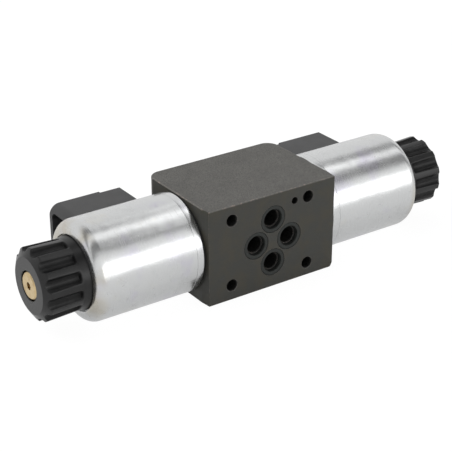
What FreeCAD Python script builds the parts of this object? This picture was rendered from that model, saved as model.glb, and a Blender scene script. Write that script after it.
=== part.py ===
import FreeCAD, Part
import math
import os
from FreeCAD import Vector

# Size 6 solenoid directional valve: one valve body, a spool between two springs, and a coil,
# core tube, armature and hand nut on each side.
#
# Frame: the origin is the middle of the mounting face. X runs along the spool and the coils,
# +Y goes from the mounting face into the valve, and Z is up with the valve on its side.
# All lengths are in millimetres. Each end of the valve is drawn on the left, where "along"
# is the distance from the middle of the valve, and the right end is the left one turned
# half way round about Y, because both ends are made from the same pieces.

# Valve body
BODY_LENGTH = 68.0
BODY_DEPTH = 49.0
BODY_WIDTH = 45.0
BACK_CORNER_RADIUS = 6.0
FACE_BEVEL = 0.6
FACE_BEVEL_DEPTH = 5.0
BODY_EDGE_RADIUS = 0.5
CAST_CORNER_INSET = 1.9
CAST_CORNER_HEIGHT = 5.3
AXIS_HEIGHT = 23.3

# Port pattern on the mounting face, as X and Z of each centre
PORT_CENTRES = {"p": (0.0, 10.4), "a": (-8.8, 0.0), "b": (8.7, 0.0), "t": (0.0, -10.4)}
PORT_BORE = 7.5
SEAL_SEAT_DIAMETER = 12.9
SEAL_SEAT_DEPTH = 1.8
SEAL_OUTSIDE = 12.6
SEAL_INSIDE = 9.3
SEAL_THICKNESS = 1.75
SEAL_EDGE = 0.3
PORT_MOUTH_CHAMFER = 0.3

# Mounting screws and locating pin, as X and Z of each centre
SCREW_CENTRES = [(-21.5, -15.5), (-21.5, 15.5), (19.0, -16.25), (19.0, 16.25)]
SCREW_HOLE = 5.5
SCREW_MOUTH_CHAMFER = 0.3
SCREW_HEAD_SEAT = 10.0
SCREW_HEAD_SEAT_DEPTH = 1.5
PIN_CENTRE = (11.5, 16.25)
PIN_HOLE = 3.3
PIN_HOLE_DEPTH = 4.0

# Spool bore and its chambers, as distances from the middle
SPOOL_BORE = 12.0
CHAMBER_DIAMETER = 18.5
WORK_CHAMBER_PLACE = 8.8
WORK_CHAMBER_WIDTH = 4.5
TANK_CHAMBER_PLACE = 15.9
TANK_CHAMBER_WIDTH = 3.0
TANK_GALLERY_HEIGHT = 12.0
TANK_GALLERY_DIAMETER = 5.0
TANK_RISER_DIAMETER = 5.6
TANK_RISER_SUMP = 0.8
DRILL_RUN_IN = 1.2
SPRING_CHAMBER_DIAMETER = 16.6
SPRING_CHAMBER_START = 19.4
TUBE_BORE = 22.0
TUBE_ROOT_LENGTH = 12.0

# Spool
SPOOL_CLEARANCE = 0.03
LAND_OVERLAP = 0.7
NECK_DIAMETER = 7.0
END_LAND_START = 18.0
SPOOL_SHOULDER = 22.4
NOSE_DIAMETER = 6.0
NOSE_LENGTH = 2.6
NOSE_EDGE = 0.5

# Centring springs and their seats
SEAT_DIAMETER = 14.5
SEAT_THICKNESS = 1.5
SEAT_CLEARANCE = 0.05
SPRING_MEAN_DIAMETER = 11.4
SPRING_WIRE = 1.3
SPRING_TURNS = 4.5
SPRING_END_GAP = 0.05

# Core tube
THREAD_CLEARANCE = 0.05
SPRING_POCKET_DIAMETER = 15.5
SPRING_POCKET_DEPTH = 14.0
TUBE_DIAMETER = 19.0
TUBE_THREAD_DIAMETER = 18.0
TUBE_THREAD_START = 87.5
TUBE_END_GAP = 0.2
TUBE_LIP = 0.6
POLE_FACE = 56.0
ROD_BORE_CLEARANCE = 0.08
ARMATURE_BORE = 14.2
TUBE_SEAL_SECTION = 1.78
TUBE_SEAL_INSET = 2.4
TUBE_SEAL_GROOVE_WIDTH = 2.4
TUBE_EDGE = 0.6

# Armature and push rod
ARMATURE_CLEARANCE = 0.08
ARMATURE_START = 60.0
ARMATURE_LENGTH = 28.0
ARMATURE_EDGE = 0.6
OIL_PASSAGE_DIAMETER = 2.2
OIL_PASSAGE_PLACE = 4.6
ROD_DIAMETER = 4.0
ROD_SOCKET_DEPTH = 4.0
ROD_SOCKET_CLEARANCE = 0.05
ROD_EDGE = 0.4

# Brass end plug and override pin
PLUG_START = 92.5
PLUG_CLEARANCE = 0.05
PLUG_NOSE_DIAMETER = 12.1
PLUG_NOSE_PROUD = 0.1
PLUG_EDGE = 0.7
OVERRIDE_BORE = 3.4
OVERRIDE_CLEARANCE = 0.05
OVERRIDE_RECESS = 3.2
OVERRIDE_HEAD_DIAMETER = 5.0
OVERRIDE_HEAD_LENGTH = 1.4
OVERRIDE_EDGE = 0.3

# Coil: steel can, end plate, bobbin and winding
COIL_INSET = 0.05
COIL_GAP = 1.1
COIL_LENGTH = 50.7
COIL_CORNER_RADIUS = 5.0
COIL_WALL = 2.5
COIL_BORE_CLEARANCE = 0.2
END_PLATE_THICKNESS = 3.2
END_PLATE_EDGE = 0.25
NUT_RECESS_DIAMETER = 33.8
NUT_RECESS_DEPTH = 1.4
CAN_END_WALL = 1.6
CAN_INNER_CORNER = 2.0
BOBBIN_WALL = 1.2
BOBBIN_FLANGE = 1.6
BOBBIN_PLAY = 0.2
BOBBIN_RIM_GAP = 1.3
WINDING_GAP = 1.2
COIL_SEAL_OUTSIDE = 43.0
COIL_SEAL_INSIDE = 34.0
COIL_CLEARANCE = 0.05

# Connector housing: distances along the coil are from its end by the valve body
HOUSING_START = 4.5
HOUSING_LENGTH = 35.4
HOUSING_WIDTH = 25.0
HOUSING_RADIAL = 40.7
HOUSING_STEP = 1.2
HOUSING_STEP_LENGTH = 10.4
HOUSING_KEY_RADIUS = 5.0
HOUSING_EDGE_RADIUS = 0.6
SOCKET_DEPTH = 22.0
SOCKET_BACK_WALL = 2.4
SOCKET_SIDE_WALL = 2.9
SOCKET_FLOOR_WALL = 1.8
SOCKET_CORNER_RADIUS = 2.0
NECK_LENGTH = 12.0
NECK_WIDTH = 10.0
WINDOW_CLEARANCE = 0.2

# Flat blades of the connector
BLADE_WIDTH = 6.3
BLADE_THICKNESS = 0.8
BLADE_SHOWN = 11.0
BLADE_ROOTED = 4.0
BLADE_SPACING = 6.0
EARTH_BLADE_INSET = 3.0
BLADE_TIP = 1.0
BLADE_SLOT_CLEARANCE = 0.02

# Coil nut
NUT_FRONT = 106.3
NUT_FACE_DIAMETER = 24.8
NUT_GRIP_FRONT_DIAMETER = 32.4
NUT_GRIP_BACK_DIAMETER = 31.2
NUT_BEVEL_LENGTH = 2.3
NUT_FLANGE_DIAMETER = 32.8
NUT_FLANGE_RIM = 1.0
NUT_COLLAR_LENGTH = 4.6
NUT_FRONT_HOLE = 13.2
NUT_FRONT_WALL = 2.5
NUT_THREAD_CLEARANCE = 0.05
NUT_BARREL_CLEARANCE = 0.1
NUT_BARREL_LENGTH = 3.8
FLUTES = 12
FLUTE_RADIUS = 3.2
FLUTE_DEPTH = 2.0
LEFT_FLUTE_TURN = 7.0
RIGHT_FLUTE_TURN = 3.0
NUT_SEAL_SECTION = 2.0
NUT_SEAL_CLEARANCE = 0.05

# Places that follow from the sizes
BODY_END = BODY_LENGTH / 2
COIL_DIAMETER = BODY_WIDTH - 2 * COIL_INSET
TUBE_SHOULDER = BODY_END - TUBE_ROOT_LENGTH
SPRING_POCKET_END = TUBE_SHOULDER + SPRING_POCKET_DEPTH
NOSE_END = SPOOL_SHOULDER + NOSE_LENGTH
SEAT_END = SPOOL_SHOULDER + SEAT_THICKNESS
ARMATURE_END = ARMATURE_START + ARMATURE_LENGTH
TUBE_END = NUT_FRONT - NUT_FRONT_WALL - TUBE_END_GAP
PLUG_SHOULDER = TUBE_END - TUBE_LIP
PLUG_FRONT = NUT_FRONT + PLUG_NOSE_PROUD
COIL_START = BODY_END + COIL_GAP
COIL_END = COIL_START + COIL_LENGTH
CAN_START = COIL_START + END_PLATE_THICKNESS
NUT_SEAT = COIL_END - NUT_RECESS_DEPTH
CAN_CAVITY_END = NUT_SEAT - CAN_END_WALL
COIL_BORE = TUBE_DIAMETER + 2 * COIL_BORE_CLEARANCE
FLUTE_BACK = NUT_SEAT + NUT_COLLAR_LENGTH
ROUND_SECTION_SIDES = 8
SHAFT_AXIS = Vector(1, 0, 0)
DEPTH_AXIS = Vector(0, 1, 0)
UP_AXIS = Vector(0, 0, 1)
OVERRUN = 1.0


def outline(points, radii):
    """Closed wire through the points, with a tangent arc of the given radius at each corner."""
    edges = []
    ends = []
    count = len(points)
    for index in range(count):
        corner = points[index]
        radius = radii[index]
        if radius == 0:
            ends.append((corner, None, corner))
            continue
        before = (points[index - 1] - corner).normalize()
        after = (points[(index + 1) % count] - corner).normalize()
        half_angle = before.getAngle(after) / 2
        inward = (before + after).normalize()
        reach = radius / math.tan(half_angle)
        centre = corner + inward * (radius / math.sin(half_angle))
        ends.append((corner + before * reach, centre - inward * radius, corner + after * reach))
    for index in range(count):
        first, middle, last = ends[index]
        if middle is not None:
            edges.append(Part.Arc(first, middle, last).toShape())
        start_of_next = ends[(index + 1) % count][0]
        if last.distanceToPoint(start_of_next) > 1e-6:
            edges.append(Part.LineSegment(last, start_of_next).toShape())
    return Part.Wire(edges)


def turned(profile, radii=None):
    """Solid turned about the shaft axis, from (along, radius) points on the left side."""
    points = [Vector(-along, AXIS_HEIGHT + radius, 0) for along, radius in profile]
    wire = outline(points, radii or [0] * len(points))
    solid = Part.Face(wire).revolve(Vector(0, AXIS_HEIGHT, 0), SHAFT_AXIS, 360)
    if solid.Volume < 0:
        solid.reverse()
    return solid


def shaft_cylinder(start, end, diameter):
    """Plain round bar on the shaft axis between two places along the left side."""
    return Part.makeCylinder(diameter / 2, end - start, Vector(-end, AXIS_HEIGHT, 0), SHAFT_AXIS)


def face_cylinder(centre, start, end, diameter):
    """Plain round bar along Y at an X and Z of the mounting face."""
    base = Vector(centre[0], start, centre[1])
    return Part.makeCylinder(diameter / 2, end - start, base, DEPTH_AXIS)


def face_cone(centre, start, diameter, chamfer):
    """Countersink of 45 degrees along Y that breaks the edge of a hole starting at a depth."""
    base = Vector(centre[0], start - chamfer, centre[1])
    wide = diameter / 2 + 2 * chamfer
    return Part.makeCone(wide, diameter / 2, 2 * chamfer, base, DEPTH_AXIS)


def block(low, high):
    """Box between two corners."""
    size = high - low
    return Part.makeBox(size.x, size.y, size.z, low)


def other_end(shape):
    """The same piece at the right end of the valve."""
    turned_copy = shape.copy()
    turned_copy.rotate(Vector(0, 0, 0), DEPTH_AXIS, 180)
    return turned_copy


def body_block():
    """Outside of the cast body, with its bevelled face edges and rounded back corners."""
    half = BODY_LENGTH / 2
    face_half = half - FACE_BEVEL
    low = -BODY_WIDTH / 2
    corners = [
        (-face_half, 0.0),
        (face_half, 0.0),
        (half, FACE_BEVEL_DEPTH),
        (half, BODY_DEPTH),
        (-half, BODY_DEPTH),
        (-half, FACE_BEVEL_DEPTH),
    ]
    points = [Vector(x, y, low) for x, y in corners]
    wire = outline(points, [0, 0, 0, BACK_CORNER_RADIUS, BACK_CORNER_RADIUS, 0])
    solid = Part.Face(wire).extrude(UP_AXIS * BODY_WIDTH)
    rims = []
    for edge in solid.Edges:
        if all(abs(abs(vertex.Z) - BODY_WIDTH / 2) < 1e-6 for vertex in edge.Vertexes):
            if abs(edge.Vertexes[0].Z - edge.Vertexes[-1].Z) < 1e-6:
                rims.append(edge)
    return solid.makeFillet(BODY_EDGE_RADIUS, rims)


def cast_corner_cutter():
    """Waste outside the rounded lower edge at the right end of the casting."""
    half = BODY_LENGTH / 2
    low = -BODY_WIDTH / 2
    radius = (CAST_CORNER_HEIGHT**2 + CAST_CORNER_INSET**2) / (2 * CAST_CORNER_INSET)
    sweep = math.asin(CAST_CORNER_HEIGHT / radius) / 2
    centre = Vector(half - radius, -OVERRUN, low + CAST_CORNER_HEIGHT)
    top = Vector(half, -OVERRUN, low + CAST_CORNER_HEIGHT)
    bottom = Vector(half - CAST_CORNER_INSET, -OVERRUN, low)
    middle = centre + Vector(math.cos(sweep), 0, -math.sin(sweep)) * radius
    below = bottom - UP_AXIS * OVERRUN
    outside = Vector(half + OVERRUN, -OVERRUN, below.z)
    beside = Vector(half + OVERRUN, -OVERRUN, top.z)
    edges = [Part.Arc(top, middle, bottom).toShape()]
    edges += Part.makePolygon([bottom, below, outside, beside, top]).Edges
    return Part.Face(Part.Wire(edges)).extrude(DEPTH_AXIS * (BODY_DEPTH + 2 * OVERRUN))


def chamber(place, width):
    """Ring-shaped oil chamber round the spool bore, centred at an X."""
    base = Vector(place - width / 2, AXIS_HEIGHT, 0)
    return Part.makeCylinder(CHAMBER_DIAMETER / 2, width, base, SHAFT_AXIS)


def bore_tools():
    """Everything that is bored along the shaft axis: spool bore, chambers and tube seats."""
    tools = [shaft_cylinder(-BODY_END, BODY_END, SPOOL_BORE)]
    for place in (-WORK_CHAMBER_PLACE, 0.0, WORK_CHAMBER_PLACE):
        tools.append(chamber(place, WORK_CHAMBER_WIDTH))
    for side in (-1, 1):
        tools.append(chamber(side * TANK_CHAMBER_PLACE, TANK_CHAMBER_WIDTH))
    spring_chamber = shaft_cylinder(SPRING_CHAMBER_START, BODY_END, SPRING_CHAMBER_DIAMETER)
    tube_seat = shaft_cylinder(TUBE_SHOULDER, BODY_END + OVERRUN, TUBE_BORE)
    for tool in (spring_chamber, tube_seat):
        tools += [tool, other_end(tool)]
    return tools


def port_tools():
    """Port bores with their seal seats, and the gallery that joins the two tank chambers."""
    work_end = AXIS_HEIGHT - CHAMBER_DIAMETER / 2 + DRILL_RUN_IN
    tank_end = TANK_GALLERY_HEIGHT + DRILL_RUN_IN
    ends = {"p": AXIS_HEIGHT, "a": work_end, "b": work_end, "t": tank_end}
    tools = []
    for name, centre in PORT_CENTRES.items():
        tools.append(face_cylinder(centre, -OVERRUN, ends[name], PORT_BORE))
        tools.append(face_cylinder(centre, -OVERRUN, SEAL_SEAT_DEPTH, SEAL_SEAT_DIAMETER))
        tools.append(face_cone(centre, SEAL_SEAT_DEPTH, PORT_BORE, PORT_MOUTH_CHAMFER))
    tank_x, tank_z = PORT_CENTRES["t"]
    gallery_start = Vector(tank_x - TANK_CHAMBER_PLACE, TANK_GALLERY_HEIGHT, tank_z)
    radius = TANK_GALLERY_DIAMETER / 2
    riser_start = TANK_GALLERY_HEIGHT - radius - TANK_RISER_SUMP
    tools.append(Part.makeCylinder(radius, 2 * TANK_CHAMBER_PLACE, gallery_start, SHAFT_AXIS))
    for side in (-1, 1):
        riser = (tank_x + side * TANK_CHAMBER_PLACE, tank_z)
        tools.append(face_cylinder(riser, riser_start, AXIS_HEIGHT, TANK_RISER_DIAMETER))
    return tools


def fixing_tools():
    """Screw holes with their head seats at the back, and the blind hole of the locating pin."""
    tools = [face_cylinder(PIN_CENTRE, -OVERRUN, PIN_HOLE_DEPTH, PIN_HOLE)]
    seat_start = BODY_DEPTH - SCREW_HEAD_SEAT_DEPTH
    for centre in SCREW_CENTRES:
        tools.append(face_cylinder(centre, -OVERRUN, BODY_DEPTH + OVERRUN, SCREW_HOLE))
        tools.append(face_cone(centre, 0.0, SCREW_HOLE, SCREW_MOUTH_CHAMFER))
        tools.append(face_cylinder(centre, seat_start, BODY_DEPTH + OVERRUN, SCREW_HEAD_SEAT))
    return tools


def valve_body():
    """Cast iron body with every bore, port and hole."""
    tools = [cast_corner_cutter()] + bore_tools() + port_tools() + fixing_tools()
    return body_block().cut(tools)


def port_seal(centre):
    """Square-edged seal ring that lies flush in its seat at one port."""
    outer = SEAL_OUTSIDE / 2
    inner = SEAL_INSIDE / 2
    back = SEAL_SEAT_DEPTH
    front = back - SEAL_THICKNESS
    profile = [
        (inner, back),
        (outer, back),
        (outer, front + SEAL_EDGE),
        (outer - SEAL_EDGE, front),
        (inner + SEAL_EDGE, front),
        (inner, front + SEAL_EDGE),
    ]
    points = [Vector(centre[0] + radius, depth, centre[1]) for radius, depth in profile]
    wire = Part.makePolygon(points + [points[0]])
    middle = Vector(centre[0], 0, centre[1])
    return Part.Face(wire).revolve(middle, DEPTH_AXIS, 360)


def spool():
    """Spool with its two working lands, two end lands and a nose at each end."""
    land = SPOOL_BORE / 2 - SPOOL_CLEARANCE
    neck = NECK_DIAMETER / 2
    nose = NOSE_DIAMETER / 2
    half_land = WORK_CHAMBER_WIDTH / 2 + LAND_OVERLAP
    half = [
        (NOSE_END, nose - NOSE_EDGE),
        (NOSE_END - NOSE_EDGE, nose),
        (SPOOL_SHOULDER, nose),
        (SPOOL_SHOULDER, land),
        (END_LAND_START, land),
        (END_LAND_START, neck),
        (WORK_CHAMBER_PLACE + half_land, neck),
        (WORK_CHAMBER_PLACE + half_land, land),
        (WORK_CHAMBER_PLACE - half_land, land),
        (WORK_CHAMBER_PLACE - half_land, neck),
    ]
    mirrored = [(-along, radius) for along, radius in reversed(half)]
    return turned([(NOSE_END, 0)] + half + mirrored + [(-NOSE_END, 0)])


def spring_seat():
    """Washer on the spool's nose that carries the spring."""
    inner = NOSE_DIAMETER / 2 + SEAT_CLEARANCE
    outer = SEAT_DIAMETER / 2
    return turned([
        (SPOOL_SHOULDER, inner),
        (SPOOL_SHOULDER, outer),
        (SEAT_END, outer),
        (SEAT_END, inner),
    ])


def round_section(along, radius, diameter):
    """Small round section as a polygon of (along, radius) points."""
    points = []
    for index in range(ROUND_SECTION_SIDES):
        angle = 2 * math.pi * (index + 0.5) / ROUND_SECTION_SIDES
        reach = diameter / 2 / math.cos(math.pi / ROUND_SECTION_SIDES)
        points.append((along + reach * math.sin(angle), radius + reach * math.cos(angle)))
    return points


def centring_spring():
    """Coil spring between its seat and the bottom of the core tube's pocket."""
    wire_radius = SPRING_WIRE / 2
    start = SEAT_END + wire_radius + SPRING_END_GAP
    end = SPRING_POCKET_END - wire_radius - SPRING_END_GAP
    length = end - start
    mean_radius = SPRING_MEAN_DIAMETER / 2
    path = Part.makeHelix(length / SPRING_TURNS, length, mean_radius)
    section = [Vector(radius, 0, along) for along, radius in round_section(0, mean_radius, SPRING_WIRE)]
    profile = Part.makePolygon(section + [section[0]])
    coil = Part.Wire(path.Edges).makePipeShell([profile], True, True)
    coil.rotate(Vector(0, 0, 0), DEPTH_AXIS, -90)
    coil.translate(Vector(-start, AXIS_HEIGHT, 0))
    return coil


def core_tube():
    """Steel core tube: screwed root with the spring pocket, pole, and armature chamber."""
    root = TUBE_BORE / 2 - THREAD_CLEARANCE
    barrel = TUBE_DIAMETER / 2
    thread = TUBE_THREAD_DIAMETER / 2
    chamber_radius = ARMATURE_BORE / 2
    rod_bore = ROD_DIAMETER / 2 + ROD_BORE_CLEARANCE
    pocket = SPRING_POCKET_DIAMETER / 2
    lip = PLUG_NOSE_DIAMETER / 2 + PLUG_CLEARANCE
    groove_end = BODY_END - TUBE_SEAL_INSET + TUBE_SEAL_GROOVE_WIDTH / 2
    groove_start = groove_end - TUBE_SEAL_GROOVE_WIDTH
    groove = root - TUBE_SEAL_SECTION - THREAD_CLEARANCE
    return turned([
        (TUBE_SHOULDER, pocket),
        (TUBE_SHOULDER, root - TUBE_EDGE),
        (TUBE_SHOULDER + TUBE_EDGE, root),
        (groove_start, root),
        (groove_start, groove),
        (groove_end, groove),
        (groove_end, root),
        (BODY_END, root),
        (BODY_END, barrel),
        (TUBE_THREAD_START, barrel),
        (TUBE_THREAD_START + TUBE_EDGE, thread),
        (TUBE_END - TUBE_EDGE, thread),
        (TUBE_END, thread - TUBE_EDGE),
        (TUBE_END, lip),
        (PLUG_SHOULDER, lip),
        (PLUG_SHOULDER, chamber_radius),
        (POLE_FACE, chamber_radius),
        (POLE_FACE, rod_bore),
        (SPRING_POCKET_END, rod_bore),
        (SPRING_POCKET_END, pocket),
    ])


def ring_seal(place, centre_radius, section):
    """Seal ring on the shaft axis."""
    return turned(round_section(place, centre_radius, section))


def tube_seal():
    """Seal ring in the groove of the core tube's root."""
    radius = TUBE_BORE / 2 - THREAD_CLEARANCE - TUBE_SEAL_SECTION / 2
    return ring_seal(BODY_END - TUBE_SEAL_INSET, radius, TUBE_SEAL_SECTION)


def armature():
    """Armature with the push rod's socket and two oil passages."""
    radius = ARMATURE_BORE / 2 - ARMATURE_CLEARANCE
    socket = ROD_DIAMETER / 2 + ROD_SOCKET_CLEARANCE
    socket_end = ARMATURE_START + ROD_SOCKET_DEPTH
    solid = turned([
        (ARMATURE_START, socket),
        (ARMATURE_START, radius - ARMATURE_EDGE),
        (ARMATURE_START + ARMATURE_EDGE, radius),
        (ARMATURE_END - ARMATURE_EDGE, radius),
        (ARMATURE_END, radius - ARMATURE_EDGE),
        (ARMATURE_END, 0),
        (socket_end, 0),
        (socket_end, socket),
    ])
    passages = []
    for side in (-1, 1):
        passage = shaft_cylinder(ARMATURE_START - OVERRUN, ARMATURE_END + OVERRUN, OIL_PASSAGE_DIAMETER)
        passage.translate(DEPTH_AXIS * side * OIL_PASSAGE_PLACE)
        passages.append(passage)
    return solid.cut(passages)


def push_rod():
    """Rod from the spool's nose through the pole into the armature."""
    radius = ROD_DIAMETER / 2
    end = ARMATURE_START + ROD_SOCKET_DEPTH
    return turned([
        (NOSE_END, 0),
        (NOSE_END, radius - ROD_EDGE),
        (NOSE_END + ROD_EDGE, radius),
        (end - ROD_EDGE, radius),
        (end, radius - ROD_EDGE),
        (end, 0),
    ])


def end_plug():
    """Brass plug that closes the core tube and guides the override pin."""
    body = ARMATURE_BORE / 2 - PLUG_CLEARANCE
    nose = PLUG_NOSE_DIAMETER / 2
    bore = OVERRIDE_BORE / 2
    return turned([
        (PLUG_START, bore),
        (PLUG_START, body),
        (PLUG_SHOULDER, body),
        (PLUG_SHOULDER, nose),
        (PLUG_FRONT - PLUG_EDGE, nose),
        (PLUG_FRONT, nose - PLUG_EDGE),
        (PLUG_FRONT, bore),
    ])


def override_pin():
    """Pin that is pushed in by hand and stands on the armature."""
    radius = OVERRIDE_BORE / 2 - OVERRIDE_CLEARANCE
    head = OVERRIDE_HEAD_DIAMETER / 2
    front = PLUG_FRONT - OVERRIDE_RECESS
    head_end = ARMATURE_END + OVERRIDE_HEAD_LENGTH
    return turned([
        (ARMATURE_END, 0),
        (ARMATURE_END, head),
        (head_end, head),
        (head_end, radius),
        (front - OVERRIDE_EDGE, radius),
        (front, radius - OVERRIDE_EDGE),
        (front, 0),
    ])


def coil_seal():
    """Flat black ring between the valve body and the coil."""
    inner = COIL_SEAL_INSIDE / 2
    outer = COIL_SEAL_OUTSIDE / 2
    return turned([(BODY_END, inner), (BODY_END, outer), (COIL_START, outer), (COIL_START, inner)])


def coil_end_plate():
    """Steel plate that closes the coil can on the side of the valve body."""
    bore = COIL_BORE / 2
    outer = COIL_DIAMETER / 2
    return turned([
        (COIL_START, bore),
        (COIL_START, outer - END_PLATE_EDGE),
        (COIL_START + END_PLATE_EDGE, outer),
        (CAN_START - END_PLATE_EDGE, outer),
        (CAN_START, outer - END_PLATE_EDGE),
        (CAN_START, bore),
    ])


def housing_middle():
    """Distance along the valve to the middle of the connector housing."""
    return COIL_START + HOUSING_START + HOUSING_LENGTH / 2


def neck_block(clearance):
    """Block where the connector housing passes through the can, widened by a clearance."""
    half_length = NECK_LENGTH / 2 + clearance
    half_width = NECK_WIDTH / 2 + clearance
    middle = housing_middle()
    inner_wall = AXIS_HEIGHT + COIL_DIAMETER / 2 - COIL_WALL
    low = Vector(-middle - half_length, inner_wall, -half_width)
    high = Vector(-middle + half_length, AXIS_HEIGHT + COIL_DIAMETER / 2 + OVERRUN, half_width)
    return block(low, high)


def coil_can():
    """Drawn steel can with a rounded outer end, a recess for the nut and a connector window."""
    bore = COIL_BORE / 2
    outer = COIL_DIAMETER / 2
    inner = outer - COIL_WALL
    recess = NUT_RECESS_DIAMETER / 2
    profile = [
        (CAN_START, inner),
        (CAN_START, outer),
        (COIL_END, outer),
        (COIL_END, recess),
        (NUT_SEAT, recess),
        (NUT_SEAT, bore),
        (CAN_CAVITY_END, bore),
        (CAN_CAVITY_END, inner),
    ]
    radii = [0, 0, COIL_CORNER_RADIUS, 0, 0, 0, 0, CAN_INNER_CORNER]
    window = neck_block(WINDOW_CLEARANCE)
    window.translate(-DEPTH_AXIS * OVERRUN)
    return turned(profile, radii).cut(window)


def bobbin():
    """Plastic bobbin that carries the winding."""
    bore = COIL_BORE / 2
    barrel = bore + BOBBIN_WALL
    flange = COIL_DIAMETER / 2 - COIL_WALL - BOBBIN_RIM_GAP
    start = CAN_START + BOBBIN_PLAY
    end = CAN_CAVITY_END - BOBBIN_PLAY
    return turned([
        (start, bore),
        (start, flange),
        (start + BOBBIN_FLANGE, flange),
        (start + BOBBIN_FLANGE, barrel),
        (end - BOBBIN_FLANGE, barrel),
        (end - BOBBIN_FLANGE, flange),
        (end, flange),
        (end, bore),
    ])


def winding():
    """Copper winding on the bobbin, taken as one solid ring."""
    inner = COIL_BORE / 2 + BOBBIN_WALL + COIL_CLEARANCE
    start = CAN_START + BOBBIN_PLAY + BOBBIN_FLANGE + COIL_CLEARANCE
    end = CAN_CAVITY_END - BOBBIN_PLAY - BOBBIN_FLANGE - COIL_CLEARANCE
    outer = COIL_DIAMETER / 2 - COIL_WALL - BOBBIN_RIM_GAP - WINDING_GAP
    return turned([(start, inner), (start, outer), (end, outer), (end, inner)])


def housing_block():
    """Outside of the connector housing, with one keyed corner and a step on its back."""
    start = COIL_START + HOUSING_START
    end = start + HOUSING_LENGTH
    half_width = HOUSING_WIDTH / 2
    back = AXIS_HEIGHT + HOUSING_RADIAL
    corners = [(-start, -half_width), (-start, half_width), (-end, half_width), (-end, -half_width)]
    points = [Vector(x, AXIS_HEIGHT, z) for x, z in corners]
    edge = HOUSING_EDGE_RADIUS
    wire = outline(points, [edge, edge, HOUSING_KEY_RADIUS, edge])
    solid = Part.Face(wire).extrude(DEPTH_AXIS * HOUSING_RADIAL)
    step_low = Vector(-start - HOUSING_STEP_LENGTH, back - HOUSING_STEP, -half_width - OVERRUN)
    step_high = Vector(-start + OVERRUN, back + OVERRUN, half_width + OVERRUN)
    saddle_diameter = COIL_DIAMETER + 2 * COIL_CLEARANCE
    saddle = shaft_cylinder(start - OVERRUN, end + OVERRUN, saddle_diameter)
    below = block(
        Vector(-end - OVERRUN, AXIS_HEIGHT - OVERRUN, -half_width - OVERRUN),
        Vector(-start + OVERRUN, AXIS_HEIGHT + COIL_DIAMETER / 4, half_width + OVERRUN),
    )
    return solid.cut([block(step_low, step_high), saddle, below])


def socket_block():
    """Space inside the connector housing, open at the outer end."""
    end = COIL_START + HOUSING_START + HOUSING_LENGTH
    floor = AXIS_HEIGHT + COIL_DIAMETER / 2 + SOCKET_FLOOR_WALL
    back = AXIS_HEIGHT + HOUSING_RADIAL - SOCKET_BACK_WALL
    half_width = HOUSING_WIDTH / 2 - SOCKET_SIDE_WALL
    corners = [(floor, -half_width), (back, -half_width), (back, half_width), (floor, half_width)]
    points = [Vector(-end - OVERRUN, y, z) for y, z in corners]
    wire = outline(points, [SOCKET_CORNER_RADIUS] * len(points))
    return Part.Face(wire).extrude(SHAFT_AXIS * (SOCKET_DEPTH + OVERRUN))


def blade_places():
    """Depth of each of the three blades: two for the coil and one for earth."""
    floor = AXIS_HEIGHT + COIL_DIAMETER / 2 + SOCKET_FLOOR_WALL
    back = AXIS_HEIGHT + HOUSING_RADIAL - SOCKET_BACK_WALL
    middle = (floor + back) / 2
    return [(middle, -BLADE_SPACING), (middle, BLADE_SPACING), (back - EARTH_BLADE_INSET, 0.0)]


def blade(place, clearance):
    """One flat blade, standing out of the bottom of the socket, or the slot it sits in."""
    depth, sideways = place
    socket_bottom = COIL_START + HOUSING_START + HOUSING_LENGTH - SOCKET_DEPTH
    root = -(socket_bottom - BLADE_ROOTED) + clearance
    tip = -(socket_bottom + BLADE_SHOWN)
    upright = sideways != 0
    half_deep = (BLADE_WIDTH if upright else BLADE_THICKNESS) / 2 + clearance
    half_wide = (BLADE_THICKNESS if upright else BLADE_WIDTH) / 2 + clearance
    low = Vector(tip, depth - half_deep, sideways - half_wide)
    high = Vector(root, depth + half_deep, sideways + half_wide)
    solid = block(low, high)
    if clearance:
        return solid
    narrow_edges = []
    for edge in solid.Edges:
        at_tip = all(abs(vertex.X - tip) < 1e-6 for vertex in edge.Vertexes)
        if at_tip and edge.Length < BLADE_WIDTH / 2:
            narrow_edges.append(edge)
    return solid.makeChamfer(BLADE_TIP, narrow_edges)


def connector_housing():
    """Moulded connector housing on the coil, with its neck, socket and blade slots."""
    neck = neck_block(0.0)
    slots = [blade(place, BLADE_SLOT_CLEARANCE) for place in blade_places()]
    return housing_block().fuse(neck).cut([socket_block()] + slots).removeSplitter()


def terminals():
    """The three blades of one connector."""
    return Part.makeCompound([blade(place, 0.0) for place in blade_places()])


def nut_blank():
    """Coil nut before its flutes are cut."""
    thread = TUBE_THREAD_DIAMETER / 2 + NUT_THREAD_CLEARANCE
    barrel = TUBE_DIAMETER / 2 + NUT_BARREL_CLEARANCE
    seal_radius = TUBE_DIAMETER / 2 + NUT_SEAL_CLEARANCE * 2 + NUT_SEAL_SECTION
    seal_end = NUT_SEAT + NUT_SEAL_SECTION + NUT_SEAL_CLEARANCE
    flange = NUT_FLANGE_DIAMETER / 2
    grip_front = NUT_GRIP_FRONT_DIAMETER / 2
    grip_back = NUT_GRIP_BACK_DIAMETER / 2
    bevel_start = NUT_FRONT - NUT_BEVEL_LENGTH
    inside_front = NUT_FRONT - NUT_FRONT_WALL
    return turned([
        (NUT_SEAT, seal_radius),
        (NUT_SEAT, flange),
        (NUT_SEAT + NUT_FLANGE_RIM, flange),
        (FLUTE_BACK, grip_back),
        (bevel_start, grip_front),
        (NUT_FRONT, NUT_FACE_DIAMETER / 2),
        (NUT_FRONT, NUT_FRONT_HOLE / 2),
        (inside_front, NUT_FRONT_HOLE / 2),
        (inside_front, thread),
        (NUT_SEAT + NUT_BARREL_LENGTH, thread),
        (NUT_SEAT + NUT_BARREL_LENGTH, barrel),
        (seal_end, barrel),
        (seal_end, seal_radius),
    ])


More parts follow.
